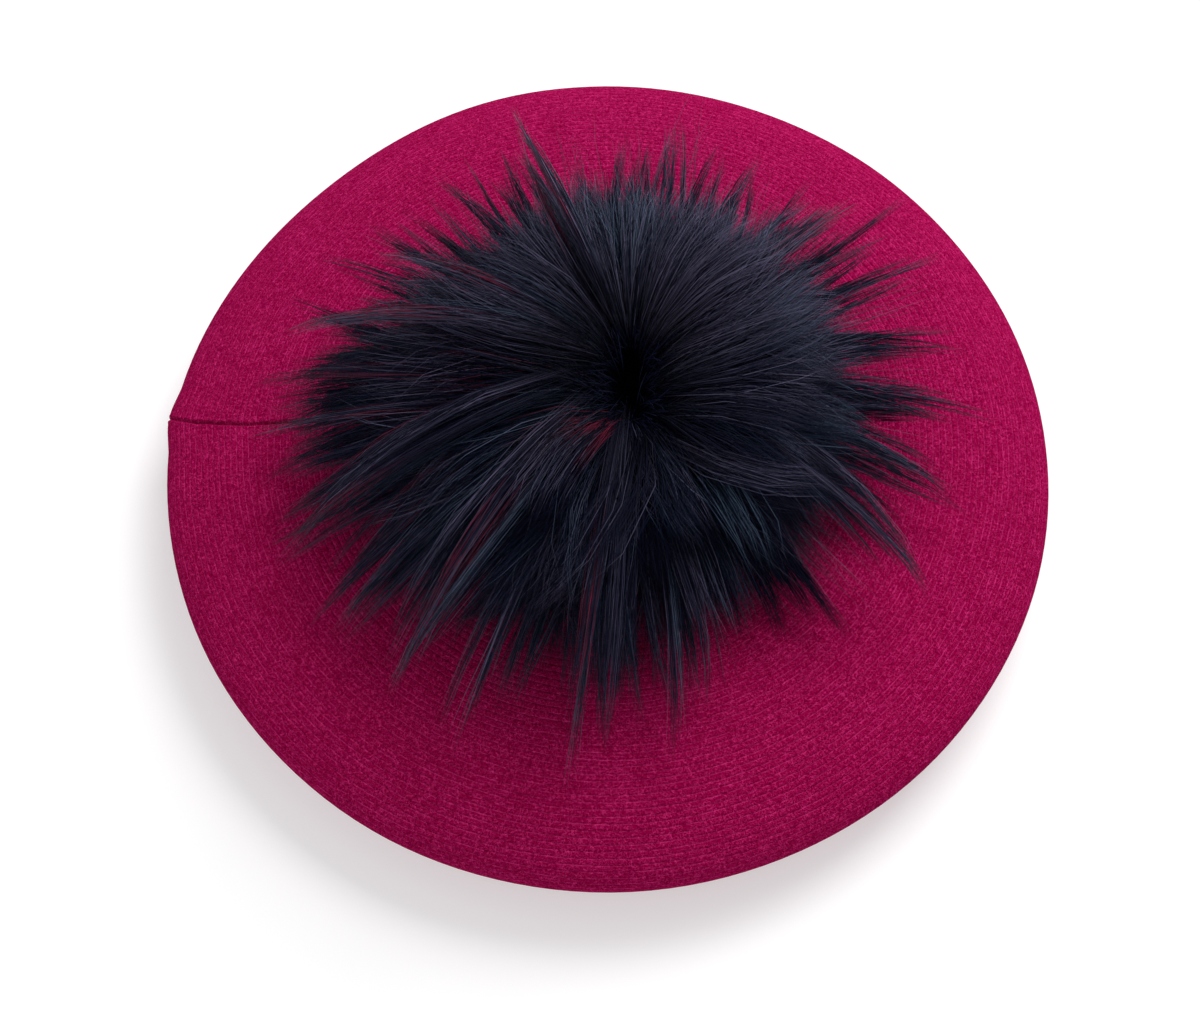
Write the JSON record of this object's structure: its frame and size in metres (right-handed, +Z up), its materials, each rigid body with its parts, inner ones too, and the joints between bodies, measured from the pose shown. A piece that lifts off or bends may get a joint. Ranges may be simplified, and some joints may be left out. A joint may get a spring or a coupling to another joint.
{
  "type": "pom-pom beret",
  "caption": "Round knitted beret with a turned-under brim, a radial seam and a large dark fur pompom on its crown, lying flat.",
  "frame": {"origin": "middle of the beret's outline seen from above, on the surface that its flat underside lies on", "axes": "+Z up through the crown, +Y towards the wearer's back, +X to the right in the picture"},
  "size_m": [0.2808, 0.2796, 0.098],
  "materials": {
    "knit_wool": "fuzzy fine stockinette, matte",
    "fur": "long soft hair with a faint sheen",
    "button": "smooth"
  },
  "bodies": {
    "root": {"beret_body": "knit_wool", "head_band": "knit_wool", "pompom": "fur", "pompom_button": "button"}
  },
  "joints": []
}
